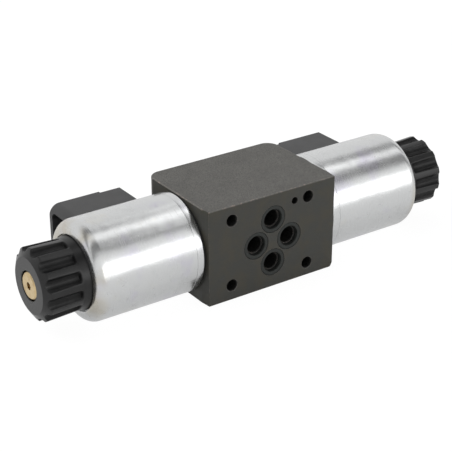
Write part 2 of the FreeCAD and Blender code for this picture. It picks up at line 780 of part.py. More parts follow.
def coil_nut(flute_turn):
    """Plastic coil nut with round-bottomed grip flutes."""
    centre_radius = NUT_GRIP_FRONT_DIAMETER / 2 - FLUTE_DEPTH + FLUTE_RADIUS
    length = NUT_FRONT + OVERRUN - FLUTE_BACK
    cutters = []
    for index in range(FLUTES):
        angle = math.radians(flute_turn + 360.0 * index / FLUTES)
        base = Vector(-FLUTE_BACK - length, AXIS_HEIGHT, 0)
        base += Vector(0, math.cos(angle), math.sin(angle)) * centre_radius
        cutters.append(Part.makeCylinder(FLUTE_RADIUS, length, base, SHAFT_AXIS))
    return nut_blank().cut(cutters)


def nut_seal():
    """Seal ring between the coil nut and the core tube."""
    radius = TUBE_DIAMETER / 2 + NUT_SEAL_CLEARANCE + NUT_SEAL_SECTION / 2
    return ring_seal(NUT_SEAT + NUT_SEAL_SECTION / 2, radius, NUT_SEAL_SECTION)


def all_pieces():
    """Every piece of the valve by its name."""
    pieces = {"valve_body": valve_body(), "spool": spool()}
    for name, centre in PORT_CENTRES.items():
        pieces["port_seal_" + name] = port_seal(centre)
    end_pieces = {
        "spring_seat": spring_seat(),
        "centring_spring": centring_spring(),
        "core_tube": core_tube(),
        "tube_seal": tube_seal(),
        "armature": armature(),
        "push_rod": push_rod(),
        "end_plug": end_plug(),
        "override_pin": override_pin(),
        "coil_seal": coil_seal(),
        "coil_end_plate": coil_end_plate(),
        "coil_can": coil_can(),
        "bobbin": bobbin(),
        "winding": winding(),
        "connector_housing": connector_housing(),
        "terminals": terminals(),
        "nut_seal": nut_seal(),
    }
    for name, shape in end_pieces.items():
        pieces["left_" + name] = shape
        pieces["right_" + name] = other_end(shape)
    pieces["left_coil_nut"] = coil_nut(LEFT_FLUTE_TURN)
    pieces["right_coil_nut"] = other_end(coil_nut(RIGHT_FLUTE_TURN))
    return pieces


def main():
    """Write one STEP file for each piece."""
    os.makedirs("parts", exist_ok=True)
    for name, shape in all_pieces().items():
        if not shape.isValid():
            print("not valid:", name)
        shape.exportStep("parts/" + name + ".step")
        print(name, len(shape.Solids), "solid", round(shape.Volume, 2), "mm3")


main()
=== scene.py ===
"""Looks of the solenoid valve: finishes, finer meshes of what shows, studio and camera.

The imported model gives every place. Lengths in the classes are in millimetres, as on a drawing,
and turn into metres where a mesh is made. The shaft axis runs along X at AXIS_HEIGHT above the
mounting face, and "along" is the distance from the middle of the valve towards one end.
"""

import logging
import math
from dataclasses import dataclass, field
from enum import Enum

import bmesh
import bpy
from mathutils import Matrix, Quaternion, Vector


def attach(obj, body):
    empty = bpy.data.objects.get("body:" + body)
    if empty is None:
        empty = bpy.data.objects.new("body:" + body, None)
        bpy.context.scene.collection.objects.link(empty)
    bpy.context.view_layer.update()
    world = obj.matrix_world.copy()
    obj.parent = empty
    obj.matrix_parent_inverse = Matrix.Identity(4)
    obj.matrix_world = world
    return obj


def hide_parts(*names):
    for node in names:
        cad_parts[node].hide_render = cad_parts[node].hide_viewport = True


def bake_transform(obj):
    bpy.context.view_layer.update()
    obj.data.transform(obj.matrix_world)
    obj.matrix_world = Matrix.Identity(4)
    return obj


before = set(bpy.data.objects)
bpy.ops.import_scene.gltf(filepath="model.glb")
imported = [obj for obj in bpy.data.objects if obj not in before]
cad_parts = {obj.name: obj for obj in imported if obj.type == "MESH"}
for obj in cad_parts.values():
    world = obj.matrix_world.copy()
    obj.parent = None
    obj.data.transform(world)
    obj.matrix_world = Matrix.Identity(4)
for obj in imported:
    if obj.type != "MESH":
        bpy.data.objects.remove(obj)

Colour = tuple[float, float, float]
Triple = tuple[float, float, float]
Range = tuple[float, float]
Pair = tuple[float, float]

MM = 0.001
AXIS_HEIGHT = 23.3
MERGE_DISTANCE = 1e-7
SHARP_ANGLE = math.radians(32)
RIDGE_SHARP_ANGLE = math.radians(60)
BEVEL_SAMPLES = 4
HOLLOW_SAMPLES = 8
EDGE_BEND: Range = (0.004, 0.12)
LOG = logging.getLogger("valve")

# Sockets of a Mix node that mixes colours.
MIX_FACTOR = 0
MIX_FIRST = 6
MIX_SECOND = 7
MIX_RESULT = 2


class End(Enum):
    """The two ends of the valve. The left end is the one nearer to the camera."""

    LEFT = "left"
    RIGHT = "right"

    def node(self, name: str) -> str:
        """Name of this end's CAD node of a piece."""
        return f"{self.value}_{name}"

    def matrix(self) -> Matrix:
        """Turn from the lathe's own axes to this end of the shaft.

        Returns:
            A matrix that takes (along, across, up) in metres to the frame of the valve.
        """
        lift = Matrix.Translation((0, AXIS_HEIGHT * MM, 0))
        if self is End.RIGHT:
            return lift
        return lift @ Matrix.Rotation(math.pi, 4, "Y")


@dataclass(frozen=True)
class Noise:
    """Size of one noise: bumps in a millimetre, number of finer layers and share of each."""

    scale: float
    detail: float = 2.0
    rough: float = 0.5


@dataclass(frozen=True)
class Mask:
    """Patches cut from a noise: where they start, where they are full, and how strong they are."""

    low: float
    high: float
    share: float = 1.0


def scaled(colour: Colour, factor: float, lift: float = 0.0) -> Colour:
    """A colour times a factor, plus a lift, and no brighter than white."""
    return tuple(min(1.0, factor * channel + lift) for channel in colour)


class Link:
    """One socket of a node tree, so that sums of sockets can be written as sums."""

    def __init__(self, graph: "Graph", socket: bpy.types.NodeSocket) -> None:
        """Keep the socket and the tree that it belongs to."""
        self.graph = graph
        self.socket = socket

    def other(self, name: str) -> "Link":
        """Another output of the same node, by its name."""
        return Link(self.graph, self.socket.node.outputs[name])

    def __add__(self, value: "Link | float") -> "Link":
        """Sum."""
        return self.graph.math("ADD", self, value)

    def __radd__(self, value: float) -> "Link":
        """Sum with the number first."""
        return self.graph.math("ADD", value, self)

    def __sub__(self, value: "Link | float") -> "Link":
        """Difference."""
        return self.graph.math("SUBTRACT", self, value)

    def __rsub__(self, value: float) -> "Link":
        """Difference with the number first."""
        return self.graph.math("SUBTRACT", value, self)

    def __mul__(self, value: "Link | float") -> "Link":
        """Product."""
        return self.graph.math("MULTIPLY", self, value)

    def __rmul__(self, value: float) -> "Link":
        """Product with the number first."""
        return self.graph.math("MULTIPLY", value, self)

    def __truediv__(self, value: "Link | float") -> "Link":
        """Quotient."""
        return self.graph.math("DIVIDE", self, value)

    def __rtruediv__(self, value: float) -> "Link":
        """Quotient with the number first."""
        return self.graph.math("DIVIDE", value, self)

    def __abs__(self) -> "Link":
        """Size without its sign."""
        return self.graph.math("ABSOLUTE", self)


class Graph:
    """Adds nodes to one tree of a material, the world or a Geometry Nodes group."""

    def __init__(self, tree: bpy.types.NodeTree) -> None:
        """Keep the tree."""
        self.tree = tree

    def node(
        self,
        kind: str,
        settings: dict[str, object] | None = None,
        inputs: dict[object, object] | None = None,
        output: int = 0,
    ) -> Link:
        """Add a node, set it and connect it.

        Args:
            kind: The node's type name.
            settings: Properties to set first; "stops" holds a ramp's (place, colour) pairs.
            inputs: Values or links by socket name or number.
            output: Number of the output to return.

        Returns:
            The chosen output of the node, or its first input where it has no output.
        """
        made = self.tree.nodes.new(kind)
        for name, value in (settings or {}).items():
            if name == "stops":
                self._set_stops(made.color_ramp, value)
            else:
                setattr(made, name, value)
        for key, value in (inputs or {}).items():
            if isinstance(value, Link):
                self.tree.links.new(value.socket, made.inputs[key])
            else:
                made.inputs[key].default_value = value
        if not made.outputs:
            return Link(self, made.inputs[0])
        return Link(self, made.outputs[output])

    @staticmethod
    def _set_stops(ramp: bpy.types.ColorRamp, stops: list[tuple[float, Colour]]) -> None:
        """Give a colour ramp its stops.

        Args:
            ramp: The ramp, with fewer stops than it gets.
            stops: The (place, colour) pairs in order.
        """
        while len(ramp.elements) < len(stops):
            ramp.elements.new(1.0)
        for element, (place, colour) in zip(ramp.elements, stops):
            element.position = place
            element.color = (*colour, 1.0)

    def math(self, operation: str, *values: "Link | float") -> Link:
        """One Math node on up to three values."""
        return self.node("ShaderNodeMath", {"operation": operation}, dict(enumerate(values)))

    def spread(self, value: Link, low: float, high: float) -> Link:
        """Smooth step from 0 to 1.

        Args:
            value: What is measured.
            low: Where the step starts.
            high: Where it ends.

        Returns:
            The step.
        """
        inputs = {"Value": value, "From Min": low, "From Max": high}
        settings = {"interpolation_type": "SMOOTHSTEP"}
        return self.node("ShaderNodeMapRange", settings, inputs)

    def patches(self, noise: Link, mask: Mask) -> Link:
        """The patches that a mask cuts from a noise."""
        return self.spread(noise, mask.low, mask.high) * mask.share

    def swing(self, noise: Link, amount: float) -> Link:
        """A noise centred on 0, times an amount."""
        return amount * (noise - 0.5)

    def greater(self, first: Link, second: "Link | float") -> Link:
        """The greater of two values."""
        return self.math("MAXIMUM", first, second)

    def distance(self, first: Link, second: Link) -> Link:
        """Distance that two lengths at right angles make."""
        return self.math("SQRT", first * first + second * second)

    def blend(self, factor: Link, first: "Colour | Link", second: "Colour | Link") -> Link:
        """Colour between two colours or colour links.

        Args:
            factor: 0 gives the first and 1 the second.
            first: A colour, or a link to one.
            second: A colour, or a link to one.

        Returns:
            The mixed colour.
        """
        colours = [c if isinstance(c, Link) else (*c, 1.0) for c in (first, second)]
        inputs = {MIX_FACTOR: factor, MIX_FIRST: colours[0], MIX_SECOND: colours[1]}
        return self.node("ShaderNodeMix", {"data_type": "RGBA"}, inputs, MIX_RESULT)

    def place(self) -> Link:
        """Place on the object in millimetres."""
        raw = self.node("ShaderNodeTexCoord").other("Object")
        return self.node("ShaderNodeVectorMath", {"operation": "SCALE"}, {0: raw, "Scale": 1 / MM})

    def stretched(self, place: Link, scale: Triple) -> Link:
        """Place times a scale on each axis, so that a noise on it becomes streaks."""
        return self.node("ShaderNodeMapping", None, {"Vector": place, "Scale": scale})

    def parts(self, vector: Link) -> tuple[Link, Link, Link]:
        """The X, Y and Z of a vector."""
        split = self.node("ShaderNodeSeparateXYZ", None, {0: vector})
        return split, split.other("Y"), split.other("Z")

    def noise(self, place: Link, noise: Noise) -> Link:
        """Noise from 0 to 1.

        Args:
            place: Where to read it, in millimetres.
            noise: Its size.

        Returns:
            The value of the noise.
        """
        inputs = {
            "Vector": place,
            "Scale": noise.scale,
            "Detail": noise.detail,
            "Roughness": noise.rough,
        }
        return self.node("ShaderNodeTexNoise", None, inputs)

    def bump(self, height: Link, depth: float, base: Link) -> Link:
        """Normal that a height map gives.

        Args:
            height: Height from 0 to 1.
            depth: Height of 1 in millimetres.
            base: Normal to start from.

        Returns:
            The changed normal.
        """
        inputs = {"Height": height, "Distance": depth * MM, "Normal": base}
        return self.node("ShaderNodeBump", None, inputs)

    def soft_edges(self, radius: float) -> Link:
        """Normal that rounds every edge by a radius in millimetres."""
        return self.node("ShaderNodeBevel", {"samples": BEVEL_SAMPLES}, {"Radius": radius * MM})

    def hollows(self, reach: float, shut: float, open_share: float) -> Link:
        """Mask of the holes and slots of a piece, from how much open view each point has; colour
        darkened with it is painted shade.

        Args:
            reach: Width of the holes in millimetres.
            shut: Share of open view at and below which the mask is 1.
            open_share: Share of open view at and above which it is 0.

        Returns:
            The mask.
        """
        settings = {"only_local": True, "samples": HOLLOW_SAMPLES}
        inputs = {"Distance": reach * MM}
        view = self.node("ShaderNodeAmbientOcclusion", settings, inputs).other("AO")
        return 1.0 - self.spread(view, shut, open_share)

    def edge_mask(self, rounded: Link) -> Link:
        """Mask of the edges of a piece.

        Args:
            rounded: The normal that rounds them.

        Returns:
            The mask: 1 where the normal is bent and 0 on flat faces.
        """
        true_normal = self.node("ShaderNodeNewGeometry").other("Normal")
        inputs = {0: rounded, 1: true_normal}
        same = self.node("ShaderNodeVectorMath", {"operation": "DOT_PRODUCT"}, inputs)
        return self.spread(1.0 - same.other("Value"), *EDGE_BEND)


@dataclass(frozen=True)
class Finish:
    """Surface of one kind of piece. Each kind writes its own nodes in paint()."""

    name: str

    def material(self) -> bpy.types.Material:
        """The finish as a material, made the first time it is asked for.

        Returns:
            The material.
        """
        made = bpy.data.materials.get(self.name)
        if made:
            return made
        made = bpy.data.materials.new(self.name)
        made.use_nodes = True
        self.paint(Graph(made.node_tree), made.node_tree.nodes["Principled BSDF"])
        return made

    def paint(self, graph: Graph, shader: bpy.types.Node) -> None:
        """Write the nodes of the finish.

        Args:
            graph: The material's tree.
            shader: Its Principled BSDF.
        """
        raise NotImplementedError

    @staticmethod
    def feed(graph: Graph, shader: bpy.types.Node, **links: Link) -> None:
        """Connect links to the shader, with an underscore for a space in a socket's name."""
        for name, link in links.items():
            graph.tree.links.new(link.socket, shader.inputs[name.replace("_", " ")])


@dataclass(frozen=True)
class CastIron(Finish):
    """Phosphated cast iron with milled ends and a milled mounting face, whose darker colour is
    painted shade, and painted shade in its holes and ports.
    """

    # Colours, and factors and shares of colours.
    cast: Colour = (0.138, 0.135, 0.126)
    # The milled faces' colour is darker than the cast skin as painted shade.
    face: Colour = (0.066, 0.066, 0.0595)
    face_stain: Colour = (0.0825, 0.07392, 0.05355)
    # Colour of the painted shade in the holes and ports.
    painted_hollow_shade: Colour = (0.012, 0.012, 0.011)
    chip: Colour = (0.42, 0.33, 0.29)
    grain_dark: float = 0.58
    grain_pale: float = 1.28
    speck_pale: float = 2.2
    stain_dark: float = 0.6
    milling_contrast: float = 0.18
    # Paler edges and rims: partly wear, partly a painted highlight.
    edge_highlight_pale: float = 2.0
    edge_highlight_share: float = 0.35

    # Noises, and the patches cut from them.
    fine: Noise = Noise(2.6, 5.0, 0.65)
    coarse: Noise = Noise(0.55, 3.0)
    stain: Noise = Noise(0.11, 3.0, 0.6)
    speck: Noise = Noise(4.5, 1.0)
    milling: Noise = Noise(1.3, 3.0, 0.6)
    wear: Noise = Noise(0.7, 4.0, 0.7)
    milling_stretch: Triple = (0.25, 1.0, 5.5)
    fine_mask: Mask = Mask(0.36, 0.64)
    speck_mask: Mask = Mask(0.62, 0.74, 0.5)
    cast_stain_mask: Mask = Mask(0.35, 0.7, 0.3)
    face_stain_mask: Mask = Mask(0.4, 0.66, 0.5)
    wear_mask: Mask = Mask(0.5, 0.68, 0.8)

    # Parts of the height map, its depth, roughness and gloss.
    fine_height: float = 0.6
    coarse_height: float = 0.7
    milling_height: float = 0.12
    grain_depth: float = 0.17
    rough: float = 0.62
    machined_polish: float = 0.17
    fine_rough: float = 0.16
    gloss: float = 0.22

    # The body's own sizes, and where each mask fades.
    half_length: float = 34.0
    half_width: float = 22.5
    height: float = 49.0
    skin: Range = (0.01, 0.04)
    face_skin: Range = (0.02, 0.06)
    edge_radius: float = 0.25
    rim_reach: Range = (0.32, 0.6)
    bevel: float = 0.6
    bevel_half_width: Range = (22.3, 22.4)
    bevel_depth: Range = (5.0, 5.1)
    hollow_reach: float = 9.0
    hollow_view: Range = (0.3, 0.8)
    port_reach: Range = (17.1, 17.4)
    port_start: Range = (1.2, 1.7)
    port_end: Range = (43.0, 44.0)

    def paint(self, graph: Graph, shader: bpy.types.Node) -> None:
        """Write cast grain, milling marks, worn edges with a painted highlight, the milled faces'
        darker painted shade and painted shade in the holes and ports.

        Args:
            graph: The material's tree.
            shader: Its Principled BSDF.
        """
        place = graph.place()
        x, y, z = graph.parts(place)
        # Milled faces, ends and bevels get milling marks and polish, and a darker colour that is
        # painted shade.
        on_face = 1.0 - graph.spread(y, *self.face_skin)
        machined_and_shaded = graph.greater(on_face, self.beyond(graph, abs(x), self.half_length))
        machined_and_shaded = graph.greater(machined_and_shaded, self.bevelled(graph, x, y, z))
        fine = graph.noise(place, self.fine)
        coarse = graph.noise(place, self.coarse)
        stain = graph.noise(place, self.stain)
        marks = graph.noise(graph.stretched(place, self.milling_stretch), self.milling)
        cast = self.cast_colour(graph, place, fine, stain)
        dark = scaled(self.face, 1.0 - self.milling_contrast)
        pale = scaled(self.face, 1.0 + self.milling_contrast)
        milled = graph.blend(marks, dark, pale)
        milled = graph.blend(graph.patches(stain, self.face_stain_mask), milled, self.face_stain)
        colour = graph.blend(machined_and_shaded, cast, milled)
        # Painted shade: holes and the insides of the ports are darkened to near black.
        holes = graph.hollows(self.hollow_reach, *self.hollow_view)
        holes = graph.greater(holes, self.painted_port_shade(graph, x, y, z))
        colour = graph.blend(holes, colour, self.painted_hollow_shade)
        # Edges and rims: a paler colour that is partly wear and partly a painted highlight.
        rounded = graph.soft_edges(self.edge_radius)
        edge = graph.greater(graph.edge_mask(rounded), self.rim(graph, x, y, z))
        colour = graph.blend(edge * self.edge_highlight_share, colour, scaled(self.cast, self.edge_highlight_pale))
        worn = edge * graph.patches(graph.noise(place, self.wear), self.wear_mask)
        colour = graph.blend(worn, colour, self.chip)
        grain = fine * self.fine_height + coarse * self.coarse_height
        height = (1.0 - machined_and_shaded) * grain + machined_and_shaded * marks * self.milling_height
        rough = self.rough - self.machined_polish * machined_and_shaded + graph.swing(fine, self.fine_rough)
        normal = graph.bump(height, self.grain_depth, rounded)
        shader.inputs["Specular IOR Level"].default_value = self.gloss
        self.feed(graph, shader, Base_Color=colour, Roughness=rough, Normal=normal)

    def cast_colour(self, graph: Graph, place: Link, fine: Link, stain: Link) -> Link:
        """Colour of the cast skin, with its grain, pale specks and dark stains.

        Args:
            graph: The material's tree.
            place: Place on the body in millimetres.
            fine: The fine grain.
            stain: The noise of the stains.

        Returns:
            The colour.
        """
        dark = scaled(self.cast, self.grain_dark)
        pale = scaled(self.cast, self.grain_pale)
        colour = graph.blend(graph.patches(fine, self.fine_mask), dark, pale)
        specks = graph.patches(graph.noise(place, self.speck), self.speck_mask)
        colour = graph.blend(specks, colour, scaled(self.cast, self.speck_pale))
        stains = graph.patches(stain, self.cast_stain_mask)
        return graph.blend(stains, colour, scaled(self.cast, self.stain_dark))

    def beyond(self, graph: Graph, length: Link, limit: float) -> Link:
        """Mask of what lies at a limit or past it, with a fade as thin as the skin."""
        thin, thick = self.skin
        return graph.spread(length, limit - thick, limit - thin)

    def painted_port_shade(self, graph: Graph, x: Link, y: Link, z: Link) -> Link:
        """Mask of painted shade on the surfaces behind the mounting face, inside the four ports.

        Args:
            graph: The material's tree.
            x: Place along the shaft.
            y: Depth from the mounting face.
            z: Place across the shaft.

        Returns:
            The mask.
        """
        near = 1.0 - graph.spread(graph.distance(x, z), *self.port_reach)
        before_end = 1.0 - graph.spread(y, *self.port_end)
        return near * before_end * graph.spread(y, *self.port_start)

    def bevelled(self, graph: Graph, x: Link, y: Link, z: Link) -> Link:
        """Mask of the shallow milled bevels beside the mounting face, which get the same darker
        painted shade as the milled faces.

        Args:
            graph: The material's tree.
            x: Place along the shaft.
            y: Depth from the mounting face.
            z: Place across the shaft.

        Returns:
            The mask.
        """
        outward = self.beyond(graph, abs(x), self.half_length - self.bevel)
        inside = 1.0 - graph.spread(abs(z), *self.bevel_half_width)
        return outward * inside * (1.0 - graph.spread(y, *self.bevel_depth))

    def rim(self, graph: Graph, x: Link, y: Link, z: Link) -> Link:
        """Mask of the rounded rims of the two cast sides, where the skin is worn and a highlight is
        painted.

        Args:
            graph: The material's tree.
            x: Place along the shaft.
            y: Depth from the mounting face.
            z: Place across the shaft.

        Returns:
            The mask.
        """
        from_end = self.half_length - abs(x)
        from_face = graph.math("MINIMUM", y, self.height - y)
        from_outline = graph.math("MINIMUM", from_end, from_face)
        from_side = self.half_width - abs(z)
        return 1.0 - graph.spread(from_outline + from_side, *self.rim_reach)


@dataclass(frozen=True)
class ZincPlate(Finish):
    """Bright zinc plate on drawn steel: even grey with faint scuffs and a tinted passivation."""

    # Colours, factors and shares of colours, and where the tinted corner lies.
    colour: Colour = (0.66, 0.668, 0.67)
    warm_tint: Colour = (0.68, 0.66, 0.60)
    cool_tint: Colour = (0.60, 0.58, 0.67)
    corner_tint: Colour = (0.52, 0.47, 0.36)
    cloud_dark: float = 0.8
    scuff_dark: float = 0.72
    warm_share: float = 0.45
    scuff_share: float = 0.16
    corner_reach: Range = (79.5, 84.0)

    # Noises, and the patches cut from them.
    tint: Noise = Noise(0.055, 3.0, 0.6)
    cloud: Noise = Noise(0.3, 5.0, 0.65)
    corner: Noise = Noise(0.07, 2.0)
    streak: Noise = Noise(1.6, 4.0, 0.6)
    scuff: Noise = Noise(1.1, 3.0, 0.6)
    grain: Noise = Noise(3.2, 3.0, 0.6)
    wave: Noise = Noise(0.12, 1.0)
    streak_stretch: Triple = (0.12, 1.0, 1.0)
    scuff_stretch: Triple = (2.5, 0.1, 0.1)
    plain_mask: Mask = Mask(0.28, 0.44)
    cool_mask: Mask = Mask(0.54, 0.76, 0.75)
    cloud_mask: Mask = Mask(0.5, 0.8, 0.4)
    corner_mask: Mask = Mask(0.42, 0.66, 0.6)
    scuff_mask: Mask = Mask(0.58, 0.74)

    # Roughness, and the depths of the bumps.
    rough: float = 0.25
    streak_rough: float = 0.08
    scuff_rough: float = 0.06
    cloud_rough: float = 0.12
    wave_depth: float = 0.12
    grain_depth: float = 0.001
    edge_radius: float = 0.3

    def paint(self, graph: Graph, shader: bpy.types.Node) -> None:
        """Write tint patches, scuffs along the coil and the soft plating texture.

        Args:
            graph: The material's tree.
            shader: Its Principled BSDF.
        """
        place = graph.place()
        tint = graph.noise(place, self.tint)
        warm = (1.0 - graph.patches(tint, self.plain_mask)) * self.warm_share
        colour = graph.blend(warm, self.colour, self.warm_tint)
        colour = graph.blend(graph.patches(tint, self.cool_mask), colour, self.cool_tint)
        cloud = graph.noise(place, self.cloud)
        clouds = graph.patches(cloud, self.cloud_mask)
        colour = graph.blend(clouds, colour, scaled(self.colour, self.cloud_dark))
        x, _, _ = graph.parts(place)
        corner = graph.spread(abs(x), *self.corner_reach)
        corner = corner * graph.patches(graph.noise(place, self.corner), self.corner_mask)
        colour = graph.blend(corner, colour, self.corner_tint)
        scuff = graph.noise(graph.stretched(place, self.scuff_stretch), self.scuff)
        scuff = graph.patches(scuff, self.scuff_mask)
        colour = graph.blend(scuff * self.scuff_share, colour, scaled(self.colour, self.scuff_dark))
        streak = graph.noise(graph.stretched(place, self.streak_stretch), self.streak)
        rough = self.rough + graph.swing(streak, self.streak_rough) + self.scuff_rough * scuff
        rough = rough + graph.swing(cloud, self.cloud_rough)
        rounded = graph.soft_edges(self.edge_radius)
        waves = graph.bump(graph.noise(place, self.wave), self.wave_depth, rounded)
        texture = (graph.noise(place, self.grain) + streak) * 0.5
        normal = graph.bump(texture, self.grain_depth, waves)
        shader.inputs["Metallic"].default_value = 1.0
        self.feed(graph, shader, Base_Color=colour, Roughness=rough, Normal=normal)


@dataclass(frozen=True)
class MouldedPlastic(Finish):
    """Glass-filled moulded plastic with a fine mould grain, paler edges that are partly wear and
    partly a painted highlight, and painted shade in its hollows.
    """

    # Colours, and factors and shares of colours.
    colour: Colour = (0.03, 0.03, 0.032)
    dust_colour: Colour = (0.3, 0.3, 0.29)
    flow_dark: float = 0.9
    flow_pale: float = 1.12
    flow_lift: float = 0.001
    # How dark and how strong the painted shade in slots and hollows is.
    painted_shade_dark: float = 0.15
    painted_shade_share: float = 0.9
    # Paler edges: partly wear, partly a painted highlight.
    edge_highlight_pale: float = 2.4
    edge_highlight_brightness: float = 0.02
    edge_highlight_lift: float = 0.35

    # Noises, and the patches cut from them.
    grain: Noise = Noise(3.0, 3.0, 0.55)
    flow: Noise = Noise(0.14, 3.0)
    dust: Noise = Noise(1.9, 4.0, 0.7)
    flow_mask: Mask = Mask(0.3, 0.7)
    dust_mask: Mask = Mask(0.66, 0.8, 0.12)

    # Roughness, gloss and bump, the width of the slots, and the polish of a coat.
    rough: float = 0.42
    grain_rough: float = 0.12
    flow_rough: float = 0.1
    hollow_rough: float = 0.15
    gloss: float = 0.3
    grain_depth: float = 0.02
    edge_radius: float = 0.25
    slot_width: float = 5.0
    slot_view: Range = (0.82, 0.985)
    polish: float = 0.0
    polish_rough: float = 0.3

    def paint(self, graph: Graph, shader: bpy.types.Node) -> None:
        """Write the mould grain, faint flow patches, paler edges of wear and painted highlight, and
        dull hollows with painted shade.

        Args:
            graph: The material's tree.
            shader: Its Principled BSDF.
        """
        place = graph.place()
        grain = graph.noise(place, self.grain)
        flow = graph.noise(place, self.flow)
        dark = scaled(self.colour, self.flow_dark)
        pale = scaled(self.colour, self.flow_pale, self.flow_lift)
        colour = graph.blend(graph.patches(flow, self.flow_mask), dark, pale)
        dust = graph.patches(graph.noise(place, self.dust), self.dust_mask)
        colour = graph.blend(dust, colour, self.dust_colour)
        # Painted shade: slots and hollows are darkened; they also get rougher and lose the coat.
        painted_hollow_shade = graph.hollows(self.slot_width, *self.slot_view)
        shade = scaled(self.colour, self.painted_shade_dark)
        colour = graph.blend(painted_hollow_shade * self.painted_shade_share, colour, shade)
        # Edges: a paler colour that is partly wear and partly a painted highlight.
        rounded = graph.soft_edges(self.edge_radius)
        rubbed_and_highlit = scaled(self.colour, self.edge_highlight_pale, self.edge_highlight_brightness)
        colour = graph.blend(graph.edge_mask(rounded) * self.edge_highlight_lift, colour, rubbed_and_highlit)
        rough = self.rough + graph.swing(grain, self.grain_rough)
        rough = rough + graph.swing(flow, self.flow_rough) + self.hollow_rough * painted_hollow_shade
        normal = graph.bump(grain, self.grain_depth, rounded)
        shader.inputs["Specular IOR Level"].default_value = self.gloss
        self.feed(graph, shader, Base_Color=colour, Roughness=rough, Normal=normal)
        if self.polish:
            shader.inputs["Coat Roughness"].default_value = self.polish_rough
            self.feed(graph, shader, Coat_Weight=self.polish * (1.0 - painted_hollow_shade))


@dataclass(frozen=True)
class Rubber(Finish):
    """Moulded seal rubber, dull, with bloom in patches."""

    colour: Colour = (0.02, 0.02, 0.021)
    bloom: Colour = (0.06, 0.062, 0.062)
    bloom_share: float = 0.35
    cloud: Noise = Noise(0.5, 4.0, 0.6)
    cloud_mask: Mask = Mask(0.3, 0.7)
    skin: Noise = Noise(5.0, 3.0)
    skin_depth: float = 0.01
    rough: float = 0.6
    cloud_rough: float = 0.15
    skin_rough: float = 0.1
    gloss: float = 0.25
    edge_radius: float = 0.15

    def paint(self, graph: Graph, shader: bpy.types.Node) -> None:
        """Write the bloom and a fine skin.

        Args:
            graph: The material's tree.
            shader: Its Principled BSDF.
        """
        place = graph.place()
        cloud = graph.patches(graph.noise(place, self.cloud), self.cloud_mask)
        skin = graph.noise(place, self.skin)
        colour = graph.blend(cloud * self.bloom_share, self.colour, self.bloom)
        rough = self.rough + graph.swing(cloud, self.cloud_rough) + graph.swing(skin, self.skin_rough)
        normal = graph.bump(skin, self.skin_depth, graph.soft_edges(self.edge_radius))
        shader.inputs["Specular IOR Level"].default_value = self.gloss
        self.feed(graph, shader, Base_Color=colour, Roughness=rough, Normal=normal)


@dataclass(frozen=True)
class TurnedMetal(Finish):
    """Metal turned on a lathe about the shaft axis, with fine rings, tool lines and a painted
    highlight on its edges.
    """

    colour: Colour = (0.58, 0.58, 0.585)
    stain: Colour = (0.4, 0.39, 0.38)
    ring_dark: float = 0.86
    # Paler edges as a painted highlight.
    edge_highlight_pale: float = 1.25
    edge_highlight_share: float = 0.3
    stain_share: float = 0.35
    ring: Noise = Noise(5.0, 3.0, 0.6)
    cloud: Noise = Noise(0.35, 4.0, 0.6)
    cloud_mask: Mask = Mask(0.4, 0.72)
    rough: float = 0.28
    ring_rough: float = 0.16
    cloud_rough: float = 0.12
    ring_depth: float = 0.012
    edge_radius: float = 0.12

    def paint(self, graph: Graph, shader: bpy.types.Node) -> None:
        """Write rings that follow both the length and the radius, and a painted highlight on the
        edges.

        Args:
            graph: The material's tree.
            shader: Its Principled BSDF.
        """
        place = graph.place()
        x, y, z = graph.parts(place)
        radius = graph.distance(y - AXIS_HEIGHT, z)
        ring_place = graph.node("ShaderNodeCombineXYZ", None, {0: x, 1: radius})
        ring = graph.noise(ring_place, self.ring)
        cloud = graph.patches(graph.noise(place, self.cloud), self.cloud_mask)
        colour = graph.blend(ring, scaled(self.colour, self.ring_dark), self.colour)
        colour = graph.blend(cloud * self.stain_share, colour, self.stain)
        # Edges: a paler colour that is a painted highlight.
        rounded = graph.soft_edges(self.edge_radius)
        edge = graph.edge_mask(rounded) * self.edge_highlight_share
        colour = graph.blend(edge, colour, scaled(self.colour, self.edge_highlight_pale))
        rough = self.rough + graph.swing(ring, self.ring_rough) + self.cloud_rough * cloud
        normal = graph.bump(ring, self.ring_depth, rounded)
        shader.inputs["Metallic"].default_value = 1.0
        self.feed(graph, shader, Base_Color=colour, Roughness=rough, Normal=normal)


@dataclass(frozen=True)
class DrawnMetal(Finish):
    """Drawn wire or rolled strip: streaks along one axis and small dark marks."""

    colour: Colour = (0.5, 0.5, 0.51)
    mark_colour: Colour = (0.16, 0.15, 0.14)
    streak_dark: float = 0.78
    mark_share: float = 0.5
    streak: Noise = Noise(4.0, 4.0, 0.6)
    streak_stretch: Triple = (0.15, 1.0, 1.0)
    mark: Noise = Noise(1.4, 4.0, 0.7)
    mark_mask: Mask = Mask(0.56, 0.74)
    rough: float = 0.3
    streak_rough: float = 0.15
    mark_rough: float = 0.2
    streak_depth: float = 0.01
    edge_radius: float = 0.08

    def paint(self, graph: Graph, shader: bpy.types.Node) -> None:
        """Write the streaks and marks.

        Args:
            graph: The material's tree.
            shader: Its Principled BSDF.
        """
        place = graph.place()
        streak = graph.noise(graph.stretched(place, self.streak_stretch), self.streak)
        marks = graph.patches(graph.noise(place, self.mark), self.mark_mask)
        colour = graph.blend(streak, scaled(self.colour, self.streak_dark), self.colour)
        colour = graph.blend(marks * self.mark_share, colour, self.mark_colour)
        rough = self.rough + graph.swing(streak, self.streak_rough) + self.mark_rough * marks
        normal = graph.bump(streak, self.streak_depth, graph.soft_edges(self.edge_radius))
        shader.inputs["Metallic"].default_value = 1.0
        self.feed(graph, shader, Base_Color=colour, Roughness=rough, Normal=normal)


